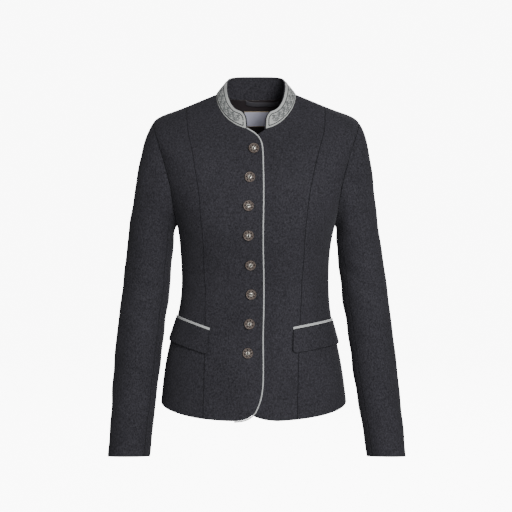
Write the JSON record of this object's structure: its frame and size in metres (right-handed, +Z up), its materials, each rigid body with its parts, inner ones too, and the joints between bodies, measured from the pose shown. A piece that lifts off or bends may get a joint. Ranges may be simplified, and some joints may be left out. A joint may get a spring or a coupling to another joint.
{
  "type": "trachten blazer",
  "caption": "Women's stand-collar folk-dress blazer in dark wool, filled out as worn, with pale felt collar, piped front and flap pockets.",
  "frame": {"origin": "midway between the neck ends of the two shoulder seams, where the wearer's shoulders carry the garment", "axes": "+Z up, the front faces -Y, the wearer's left is +X"},
  "size_m": [0.5762, 0.2669, 0.7391],
  "materials": {
    "wool": "charcoal heathered wool cloth with a short soft nap",
    "felt": "pale grey felt with tone-on-tone embroidery",
    "piping": "pale grey corded piping",
    "lining": "near-black smooth lining",
    "satin": "dark grey satin tape",
    "woven_label": "bare pale woven label",
    "horn": "bronze-brown horn look with a bright domed middle"
  },
  "bodies": {
    "root": {"centre_front_right": "wool", "centre_front_left": "wool", "side_front_right": "wool", "side_front_left": "wool", "side_back_right": "wool", "side_back_left": "wool", "centre_back_right": "wool", "centre_back_left": "wool", "upper_sleeve_right": "wool", "upper_sleeve_left": "wool", "under_sleeve_right": "wool", "under_sleeve_left": "wool", "collar_inner": "wool", "pocket_flap_right": "wool", "pocket_flap_left": "wool", "collar_outer": "felt", "pocket_welt_right": "felt", "pocket_welt_left": "felt", "front_piping": "piping", "neck_lining_right": "lining", "neck_lining_left": "lining", "hanger_loop": "satin", "label": "woven_label", "button_1": "horn", "button_2": "horn", "button_3": "horn", "button_4": "horn", "button_5": "horn", "button_6": "horn", "button_7": "horn", "button_8": "horn"}
  },
  "joints": []
}
